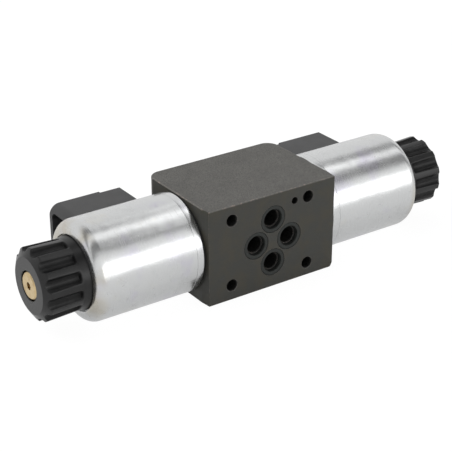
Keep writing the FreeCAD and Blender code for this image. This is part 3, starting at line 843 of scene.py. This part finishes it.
@dataclass(frozen=True)
class Finishes:
    """Every finish of the valve."""

    body: Finish = CastIron("body_iron_phosphated")
    zinc: Finish = ZincPlate("coil_zinc_plate")
    housing: Finish = MouldedPlastic(
        "connector_plastic",
        colour=(0.062, 0.062, 0.063),
        rough=0.5,
        edge_highlight_lift=0.3,
    )
    nut: Finish = MouldedPlastic(
        "nut_plastic_black",
        colour=(0.011, 0.011, 0.0112),
        rough=0.4,
        gloss=0.08,
        edge_highlight_lift=0.3,
        slot_width=4.5,
        polish=0.62,
    )
    bobbin: Finish = MouldedPlastic(
        "bobbin_plastic_black",
        colour=(0.035, 0.035, 0.036),
        rough=0.55,
    )
    seal: Finish = Rubber("seal_rubber_black")
    port_seal: Finish = Rubber(
        "port_seal_rubber_grey",
        colour=(0.03, 0.032, 0.03),
        bloom=(0.05, 0.056, 0.052),
        bloom_share=0.5,
    )
    brass: Finish = TurnedMetal(
        "plug_brass_turned",
        colour=(0.74, 0.58, 0.33),
        stain=(0.42, 0.26, 0.1),
        rough=0.3,
        edge_radius=0.5,
    )
    pin: Finish = TurnedMetal(
        "pin_brass_turned",
        colour=(1.0, 0.83, 0.42),
        stain=(0.8, 0.6, 0.26),
        rough=0.6,
    )
    tube: Finish = TurnedMetal("tube_steel_turned", colour=(0.5, 0.5, 0.505), rough=0.33)
    ground: Finish = TurnedMetal(
        "spool_steel_ground",
        colour=(0.62, 0.62, 0.63),
        ring=Noise(9.0, 3.0, 0.6),
        rough=0.18,
    )
    spring: Finish = DrawnMetal("spring_wire_steel", colour=(0.42, 0.42, 0.43))
    copper: Finish = DrawnMetal(
        "winding_wire_copper",
        colour=(0.62, 0.27, 0.11),
        mark_colour=(0.3, 0.1, 0.04),
        streak_stretch=(1.0, 0.2, 0.2),
    )
    tinned: Finish = DrawnMetal(
        "blade_tinned",
        colour=(0.72, 0.71, 0.68),
        mark_colour=(0.5, 0.4, 0.25),
    )


FINISHES = Finishes()

# How the two ends differ in the photo: the nut's turn in degrees, and the lip of the end plate
# over the coil's seal in millimetres.
FLUTE_TURN = {End.LEFT: 9.5, End.RIGHT: 3.0}
PLATE_LIP = {End.LEFT: 0.0, End.RIGHT: 0.8}


@dataclass(frozen=True)
class Corner:
    """One corner of a turned profile: along the shaft, radius, and rounding."""

    along: float
    radius: float
    rounding: float = 0.0


def rounded_profile(
    corners: list[Corner], arc_steps: int = 5, spacing: float = math.inf
) -> list[Vector]:
    """Points of a closed profile with its corners rounded.

    Args:
        corners: The profile's corners in order.
        arc_steps: Number of straight steps in each rounding.
        spacing: Greatest distance between two points in millimetres.

    Returns:
        Points as (along, radius) in millimetres.
    """
    points: list[Vector] = []
    for index, corner in enumerate(corners):
        here = Vector((corner.along, corner.radius))
        if corner.rounding == 0.0:
            points.append(here)
            continue
        following = corners[(index + 1) % len(corners)]
        before = Vector((corners[index - 1].along, corners[index - 1].radius)) - here
        after = Vector((following.along, following.radius)) - here
        half = before.angle(after) / 2
        reach = corner.rounding / math.tan(half)
        inward = (before.normalized() + after.normalized()).normalized()
        centre = here + inward * corner.rounding / math.sin(half)
        first = here + before.normalized() * reach - centre
        last = here + after.normalized() * reach - centre
        sweep = first.angle_signed(last)
        for step in range(arc_steps + 1):
            turn = Matrix.Rotation(-sweep * step / arc_steps, 2)
            points.append(centre + turn @ first)
    return evenly(points, spacing)


def evenly(points: list[Vector], spacing: float) -> list[Vector]:
    """Add points to a closed profile so that no step is longer than the spacing.

    Args:
        points: Points as (along, radius) in millimetres.
        spacing: Greatest distance between two points in millimetres.

    Returns:
        The points with the added ones between them.
    """
    filled: list[Vector] = []
    for index, here in enumerate(points):
        following = points[(index + 1) % len(points)]
        steps = max(1, math.ceil((following - here).length / spacing))
        filled += [here.lerp(following, step / steps) for step in range(steps)]
    return filled


def finish_mesh(mesh: bmesh.types.BMesh, name: str, matrix: Matrix) -> bpy.types.Object:
    """Close a mesh, point its faces outward, put it in its place and make its object.

    Args:
        mesh: The mesh in its own axes. It is freed.
        name: Name of the piece.
        matrix: Where it goes.

    Returns:
        The new object, at the origin.
    """
    bmesh.ops.remove_doubles(mesh, verts=mesh.verts, dist=MERGE_DISTANCE)
    mesh.transform(matrix)
    bmesh.ops.recalc_face_normals(mesh, faces=mesh.faces)
    data = bpy.data.meshes.new(name)
    mesh.to_mesh(data)
    mesh.free()
    data.shade_smooth()
    data.set_sharp_from_angle(angle=SHARP_ANGLE)
    made = bpy.data.objects.new(name, data)
    bpy.context.scene.collection.objects.link(made)
    return made


def lathe(name: str, profile: list[Vector], matrix: Matrix, segments: int) -> bpy.types.Object:
    """Turn a closed profile about the lathe axis.

    Args:
        name: Name of the piece.
        profile: Points as (along, radius) in millimetres, all off the axis.
        matrix: Where the piece goes, from (along, across, up).
        segments: Number of steps round the axis.

    Returns:
        The turned piece.
    """
    mesh = bmesh.new()
    rings = []
    for along, radius in profile:
        ring = []
        for step in range(segments):
            angle = math.tau * step / segments
            place = Vector((along, radius * math.cos(angle), radius * math.sin(angle)))
            ring.append(mesh.verts.new(place * MM))
        rings.append(ring)
    for ring, following in zip(rings, rings[1:] + rings[:1]):
        for step in range(segments):
            after = (step + 1) % segments
            mesh.faces.new((ring[step], ring[after], following[after], following[step]))
    return finish_mesh(mesh, name, matrix)


def dress(piece: bpy.types.Object, finish: Finish) -> None:
    """Give a piece one finish."""
    piece.data.materials.clear()
    piece.data.materials.append(finish.material())


def settle(piece: bpy.types.Object, finish: Finish, body: str, node: str) -> None:
    """Dress a new piece, let it ride and let it stand for its CAD node.

    Args:
        piece: The new piece.
        finish: Its finish.
        body: The body it rides on.
        node: The CAD node that it replaces.
    """
    dress(piece, finish)
    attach(piece, body)
    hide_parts(node)
    LOG.info("%s rides on %s with %d faces", piece.name, body, len(piece.data.polygons))


def dress_node(node: str, finish: Finish) -> None:
    """Give a carried-over CAD node its finish.

    Args:
        node: Name of the node.
        finish: Its finish.
    """
    for material_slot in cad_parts[node].material_slots:
        material_slot.material = finish.material()
    LOG.info("%s keeps its CAD shape", node)


class GeometryRule:
    """A Geometry Nodes tree with named sizes, applied to a piece and made a plain mesh."""

    def __init__(self, name: str, sizes: dict[str, float]) -> None:
        """Make the tree with a geometry input and one input for each size.

        Args:
            name: Name of the tree.
            sizes: Value of each named input, in metres or radians or a count.
        """
        self.sizes = sizes
        self.group = bpy.data.node_groups.new(name, "GeometryNodeTree")
        sockets = self.group.interface
        sockets.new_socket("Geometry", in_out="INPUT", socket_type="NodeSocketGeometry")
        for size in sizes:
            sockets.new_socket(size, in_out="INPUT", socket_type="NodeSocketFloat")
        sockets.new_socket("Geometry", in_out="OUTPUT", socket_type="NodeSocketGeometry")
        self.graph = Graph(self.group)
        self.given = self.graph.node("NodeGroupInput")

    def size(self, name: str) -> Link:
        """A named input."""
        return self.given.other(name)

    def shaft_place(self) -> tuple[Link, Link, Link, Link]:
        """Place of a point about the lathe axis.

        Returns:
            Along, across, up and radius, in metres.
        """
        along, across, up = self.graph.parts(self.graph.node("GeometryNodeInputPosition"))
        return along, across, up, self.graph.distance(across, up)

    def set_radius(self, along: Link, across: Link, up: Link, factor: Link) -> Link:
        """Move each point towards or away from the axis by a factor.

        Args:
            along: Place along the axis.
            across: Place across it.
            up: Place above it.
            factor: New radius over the old one.

        Returns:
            The changed geometry.
        """
        parts = {0: along, 1: across * factor, 2: up * factor}
        moved = self.graph.node("ShaderNodeCombineXYZ", None, parts)
        inputs = {"Geometry": self.given.other("Geometry"), "Position": moved}
        return self.graph.node("GeometryNodeSetPosition", None, inputs)

    def end(self, geometry: Link, finish: Finish) -> None:
        """Realize the result, give it its finish and lead it out of the tree.

        Args:
            geometry: The result.
            finish: Its finish.
        """
        real = self.graph.node("GeometryNodeRealizeInstances", None, {"Geometry": geometry})
        inputs = {"Geometry": real, "Material": finish.material()}
        painted = self.graph.node("GeometryNodeSetMaterial", None, inputs)
        self.graph.node("NodeGroupOutput", None, {"Geometry": painted})

    def apply(self, piece: bpy.types.Object) -> None:
        """Run the tree on a piece and keep the result as its plain mesh.

        Args:
            piece: The piece, before it rides on anything.
        """
        modifier = piece.modifiers.new(self.group.name, "NODES")
        modifier.node_group = self.group
        for item in self.group.interface.items_tree:
            if item.in_out == "INPUT" and item.name in self.sizes:
                modifier[item.identifier] = float(self.sizes[item.name])
        bpy.context.view_layer.update()
        evaluated = piece.evaluated_get(bpy.context.evaluated_depsgraph_get())
        result = bpy.data.meshes.new_from_object(evaluated)
        piece.modifiers.remove(modifier)
        piece.data = result
        result.shade_smooth()
        result.set_sharp_from_angle(angle=RIDGE_SHARP_ANGLE)


@dataclass
class ValveBody:
    """The cast body with its four port seals."""

    ports: dict[str, Pair] = field(
        default_factory=lambda: {
            "p": (0.0, 10.4),
            "a": (-8.8, 0.0),
            "b": (8.7, 0.0),
            "t": (0.0, -10.4),
        }
    )
    seal_outside: float = 12.6
    seal_inside: float = 9.3
    seal_thickness: float = 1.75
    seal_rounding: float = 0.3
    seat_depth: float = 1.8
    segments: int = 72

    def build(self) -> None:
        """Make the body and its seals."""
        dress_node("valve_body", FINISHES.body)
        for name, centre in self.ports.items():
            self.port_seal(name, centre)

    def port_seal(self, name: str, centre: Pair) -> None:
        """Make one flat ring seal in its seat.

        Args:
            name: Letter of the port.
            centre: X and Z of the port.
        """
        outer = self.seal_outside / 2
        inner = self.seal_inside / 2
        back = self.seat_depth
        front = back - self.seal_thickness
        turned = self.seal_rounding
        corners = [
            Corner(front, inner, turned),
            Corner(front, outer, turned),
            Corner(back, outer, turned),
            Corner(back, inner, turned),
        ]
        to_face = Matrix.Translation((centre[0] * MM, 0, centre[1] * MM))
        matrix = to_face @ Matrix.Rotation(math.pi / 2, 4, "Z")
        ring = lathe(f"port_ring_{name}", rounded_profile(corners), matrix, self.segments)
        settle(ring, FINISHES.port_seal, "valve", f"port_seal_{name}")


@dataclass
class Coil:
    """Zinc-plated can and end plate with the bobbin, winding, connector and blades."""

    end: End
    lip: float
    diameter: float = 44.9
    start: float = 35.1
    bore: float = 19.4
    seal_room: float = 43.1
    plate_thickness: float = 3.2
    plate_edge: float = 0.25
    seam_edge: float = 0.12
    segments: int = 160

    def build(self) -> None:
        """Make and dress every piece of the coil."""
        self.end_plate()
        dress_node(self.end.node("coil_can"), FINISHES.zinc)
        dress_node(self.end.node("connector_housing"), FINISHES.housing)
        dress_node(self.end.node("bobbin"), FINISHES.bobbin)
        dress_node(self.end.node("winding"), FINISHES.copper)
        dress_node(self.end.node("terminals"), FINISHES.tinned)
        dress_node(self.end.node("coil_seal"), FINISHES.seal)

    def end_plate(self) -> None:
        """Make the plate that closes the can on the side of the body, with its lip if it has one."""
        outer = self.diameter / 2
        inner = self.bore / 2
        back = self.start + self.plate_thickness
        front = self.start - self.lip
        corners = [Corner(self.start, inner)]
        if self.lip > 0:
            corners.append(Corner(self.start, self.seal_room / 2))
            corners.append(Corner(front, self.seal_room / 2))
        corners.append(Corner(front, outer, self.plate_edge))
        corners.append(Corner(back, outer, self.seam_edge))
        corners.append(Corner(back, inner))
        profile = rounded_profile(corners)
        plate = lathe(self.end.node("can_plate"), profile, self.end.matrix(), self.segments)
        node = self.end.node("coil_end_plate")
        settle(plate, FINISHES.zinc, self.end.node("coil"), node)


@dataclass
class CoilNut:
    """Black plastic nut with twelve round-bottomed flutes."""

    end: End
    flute_turn: float
    back: float = 84.4
    front: float = 106.3
    face_diameter: float = 24.8
    grip_front: float = 32.4
    grip_back: float = 31.2
    bevel: float = 2.3
    flange: float = 32.8
    rim: float = 1.0
    collar: float = 4.6
    front_hole: float = 13.2
    front_wall: float = 2.5
    thread: float = 18.1
    barrel: float = 19.2
    barrel_length: float = 3.8
    seal_pocket: float = 23.2
    seal_pocket_depth: float = 2.05
    flutes: int = 12
    flute_radius: float = 3.2
    flute_depth: float = 2.0
    ridge_softness: float = 0.5
    run_out: float = 1.4
    flange_rounding: float = 0.3
    grip_rounding: float = 0.5
    hole_rounding: float = 0.3
    arc_steps: int = 4
    run_out_steps: int = 8
    row_spacing: float = 0.45
    segments: int = 480

    def build(self) -> None:
        """Turn the blank, press the flutes into it and seat it on the coil."""
        name = self.end.node("grip_nut")
        nut = lathe(name, self.profile(), Matrix.Identity(4), self.segments)
        self.flute_rule().apply(nut)
        nut.data.transform(self.end.matrix())
        node = self.end.node("coil_nut")
        settle(nut, FINISHES.nut, self.end.node("nut"), node)
        dress_node(self.end.node("nut_seal"), FINISHES.seal)

    def profile(self) -> list[Vector]:
        """Profile of the blank.

        Returns:
            Points as (along, radius), close together where the flutes end.
        """
        flute_back = self.back + self.collar
        barrel_end = self.back + self.barrel_length
        inside = self.front - self.front_wall
        pocket_end = self.back + self.seal_pocket_depth
        slope = (self.grip_front - self.grip_back) / 2
        run = self.front - self.bevel - flute_back
        wall_rows = []
        for step in range(1, self.run_out_steps):
            reach = self.run_out * step / self.run_out_steps
            radius = self.grip_back / 2 + slope * reach / run
            wall_rows.append(Corner(flute_back + reach, radius))
        corners = [
            Corner(self.back, self.seal_pocket / 2),
            Corner(self.back, self.flange / 2, self.flange_rounding),
            Corner(self.back + self.rim, self.flange / 2, self.flange_rounding),
            Corner(flute_back, self.grip_back / 2),
            *wall_rows,
            Corner(self.front - self.bevel, self.grip_front / 2, self.grip_rounding),
            Corner(self.front, self.face_diameter / 2, self.grip_rounding),
            Corner(self.front, self.front_hole / 2, self.hole_rounding),
            Corner(inside, self.front_hole / 2),
            Corner(inside, self.thread / 2),
            Corner(barrel_end, self.thread / 2),
            Corner(barrel_end, self.barrel / 2),
            Corner(pocket_end, self.barrel / 2),
            Corner(pocket_end, self.seal_pocket / 2),
        ]
        return rounded_profile(corners, self.arc_steps, self.row_spacing)

    def flute_rule(self) -> GeometryRule:
        """Rule that presses the flutes into the blank.

        Returns:
            The tree, with the flutes' sizes as named inputs.
        """
        centre_radius = self.grip_front / 2 - self.flute_depth + self.flute_radius
        sizes = {
            "Flutes": self.flutes,
            "Flute Radius": self.flute_radius * MM,
            "Centre Radius": centre_radius * MM,
            "Turn": -math.radians(self.flute_turn),
            "Back": (self.back + self.collar) * MM,
            "Softness": self.ridge_softness * MM,
            "Run Out": self.run_out * MM,
        }
        rule = GeometryRule(self.end.node("grip_flutes"), sizes)
        graph = rule.graph
        along, across, up, radius = rule.shaft_place()
        pitch = math.tau / rule.size("Flutes")
        angle = graph.math("ARCTAN2", up, across) - rule.size("Turn")
        folded = angle - pitch * graph.math("ROUND", angle / pitch)
        reach = rule.size("Centre Radius") * graph.math("COSINE", folded)
        offset = rule.size("Centre Radius") * graph.math("SINE", folded)
        room = rule.size("Flute Radius") * rule.size("Flute Radius") - offset * offset
        flute = reach - graph.math("SQRT", graph.greater(room, 0.0))
        pressed = graph.math("SMOOTH_MIN", radius, flute, rule.size("Softness"))
        gate = graph.spread((along - rule.size("Back")) / rule.size("Run Out"), 0.0, 1.0)
        factor = 1.0 + gate * (pressed / radius - 1.0)
        rule.end(rule.set_radius(along, across, up, factor), FINISHES.nut)
        return rule


@dataclass
class CoreTube:
    """Core tube with its threaded end, its seals, armature, rod, plug and override pin."""

    end: End

    def build(self) -> None:
        """Make and dress the pieces on the shaft axis."""
        dress_node(self.end.node("core_tube"), FINISHES.tube)
        dress_node(self.end.node("end_plug"), FINISHES.brass)
        dress_node(self.end.node("override_pin"), FINISHES.pin)
        dress_node(self.end.node("tube_seal"), FINISHES.seal)
        dress_node(self.end.node("armature"), FINISHES.tube)
        dress_node(self.end.node("push_rod"), FINISHES.ground)
        dress_node(self.end.node("spring_seat"), FINISHES.ground)
        self.spring()

    def spring(self) -> None:
        """Make the centring spring a new piece from a merged copy of its CAD node's mesh, in the
        node's place.
        """
        node = self.end.node("centring_spring")
        mesh = bmesh.new()
        mesh.from_mesh(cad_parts[node].data)
        spring = finish_mesh(mesh, self.end.node("live_spring"), Matrix.Identity(4))
        dress(spring, FINISHES.spring)
        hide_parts(node)
        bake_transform(spring)
        LOG.info("%s bends between the spool and the valve", spring.name)


@dataclass(frozen=True)
class Lamp:
    """One area lamp: its place and two sides in metres, and its power in watts."""

    name: str
    place: Triple
    sides: Pair
    power: float
    mirrored: bool = True


@dataclass
class Studio:
    """Floor, lamps, world and the camera at the photo's viewing angle."""

    floor_height: float = -22.5
    floor_size: float = 8.0
    floor_colour: Colour = (0.8, 0.8, 0.8)
    floor_rough: float = 0.9
    floor_gloss: float = 0.1
    floor_whiteness: float = 0.88
    mirrored_whiteness: float = 0.45
    floor_white: float = 1.09
    world_level: float = 0.3
    # Place from the front horizon (0) over the top (0.5) to the back one (1), and its level.
    sky: tuple[Pair, ...] = (
        (0.0, 1.0),
        (0.26, 1.0),
        (0.33, 0.2),
        (0.43, 0.2),
        (0.48, 1.2),
        (0.53, 1.2),
        (0.57, 0.2),
        (0.63, 0.2),
        (0.69, 0.9),
    )
    lamps: tuple[Lamp, ...] = (
        Lamp("overhead_lamp", (0.6, 0.04, 1.05), (1.2, 0.25), 0.8),
        Lamp("back_lamp", (-0.55, 0.6, 1.1), (1.6, 1.2), 13.0, mirrored=False),
        Lamp("front_lamp", (0.35, -1.05, 0.3), (1.8, 0.5), 4.1),
    )
    lens: float = 106.98
    sensor: float = 36.0
    nearest: float = 0.01
    farthest: float = 50.0
    camera_place: Triple = (-311.046, -420.816, 261.965)
    camera_aim: Triple = (0.505807, 0.743204, -0.437957)
    camera_roll: float = -0.2103

    def build(self) -> None:
        """Make the stage, the light and the camera."""
        self.floor()
        self.world()
        for lamp in self.lamps:
            self.light(lamp)
        self.camera()

    def floor(self) -> None:
        """Make the floor, which is white to the camera and keeps the valve's shadow."""
        half = self.floor_size / 2
        height = self.floor_height * MM
        corners = [(-half, -half, height), (half, -half, height)]
        corners += [(half, half, height), (-half, half, height)]
        data = bpy.data.meshes.new("studio_floor")
        data.from_pydata(corners, [], [(0, 1, 2, 3)])
        plane = bpy.data.objects.new("studio_floor", data)
        bpy.context.scene.collection.objects.link(plane)
        data.materials.append(self.floor_material())

    def floor_material(self) -> bpy.types.Material:
        """Make the floor's material, part plain grey and part white by itself.

        Returns:
            The material. How white it is depends on the kind of ray.
        """
        material = bpy.data.materials.new("studio_floor")
        material.use_nodes = True
        graph = Graph(material.node_tree)
        shader = material.node_tree.nodes["Principled BSDF"]
        shader.inputs["Base Color"].default_value = (*self.floor_colour, 1.0)
        shader.inputs["Roughness"].default_value = self.floor_rough
        shader.inputs["Specular IOR Level"].default_value = self.floor_gloss
        rays = graph.node("ShaderNodeLightPath")
        direct = rays.other("Is Camera Ray") * self.floor_whiteness
        share = direct + rays.other("Is Glossy Ray") * self.mirrored_whiteness
        white = graph.node("ShaderNodeEmission", None, {"Strength": self.floor_white})
        inputs = {0: share, 1: Link(graph, shader.outputs[0]), 2: white}
        mixed = graph.node("ShaderNodeMixShader", None, inputs)
        output = material.node_tree.nodes["Material Output"]
        graph.tree.links.new(mixed.socket, output.inputs["Surface"])
        return material

    def world(self) -> None:
        """Make the world: white to the camera, a banded sky in reflections, soft as a light."""
        world = bpy.data.worlds.new("studio_world")
        world.use_nodes = True
        bpy.context.scene.world = world
        graph = Graph(world.node_tree)
        rays = graph.node("ShaderNodeLightPath")
        _, y, z = graph.parts(graph.node("ShaderNodeTexCoord").other("Generated"))
        climb = graph.math("ARCTAN2", z, 0.0 - y) / math.pi
        stops = [(place, (level, level, level)) for place, level in self.sky]
        sky = graph.node("ShaderNodeValToRGB", {"stops": stops}, {0: climb})
        sky = graph.node("ShaderNodeRGBToBW", None, {0: sky})
        mirrored = graph.greater(rays.other("Is Glossy Ray"), rays.other("Is Transmission Ray"))
        shown = self.world_level + (sky - self.world_level) * mirrored
        strength = shown + (1.0 - shown) * rays.other("Is Camera Ray")
        background = world.node_tree.nodes["Background"]
        background.inputs["Color"].default_value = (1.0, 1.0, 1.0, 1.0)
        graph.tree.links.new(strength.socket, background.inputs["Strength"])

    def light(self, lamp: Lamp) -> None:
        """Make one area lamp aimed at the valve.

        Args:
            lamp: What it is like.
        """
        data = bpy.data.lights.new(lamp.name, "AREA")
        data.shape = "RECTANGLE"
        data.size, data.size_y = lamp.sides
        data.energy = lamp.power
        made = bpy.data.objects.new(lamp.name, data)
        made.location = lamp.place
        made.visible_glossy = lamp.mirrored
        aim = Vector((0.0, AXIS_HEIGHT * MM, 0.0)) - Vector(lamp.place)
        made.rotation_euler = aim.to_track_quat("-Z", "Y").to_euler()
        bpy.context.scene.collection.objects.link(made)

    def camera(self) -> None:
        """Make the camera that the mounting face's hole pattern gives for the photo."""
        data = bpy.data.cameras.new("photo_camera")
        data.sensor_width = self.sensor
        data.lens = self.lens
        data.clip_start = self.nearest
        data.clip_end = self.farthest
        made = bpy.data.objects.new("photo_camera", data)
        aim = Vector(self.camera_aim).to_track_quat("-Z", "Y")
        roll = Quaternion((0.0, 0.0, 1.0), math.radians(self.camera_roll))
        made.location = Vector(self.camera_place) * MM
        made.rotation_euler = (aim @ roll).to_euler()
        bpy.context.scene.collection.objects.link(made)
        bpy.context.scene.camera = made


def main() -> None:
    """Build the studio and the valve."""
    logging.basicConfig(level=logging.INFO, format="%(message)s")
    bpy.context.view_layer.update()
    bpy.context.scene.view_settings.view_transform = "Standard"
    Studio().build()
    ValveBody().build()
    dress_node("spool", FINISHES.ground)
    for end in End:
        CoreTube(end).build()
        Coil(end, PLATE_LIP[end]).build()
        CoilNut(end, FLUTE_TURN[end]).build()


if __name__ == "__main__":
    main()
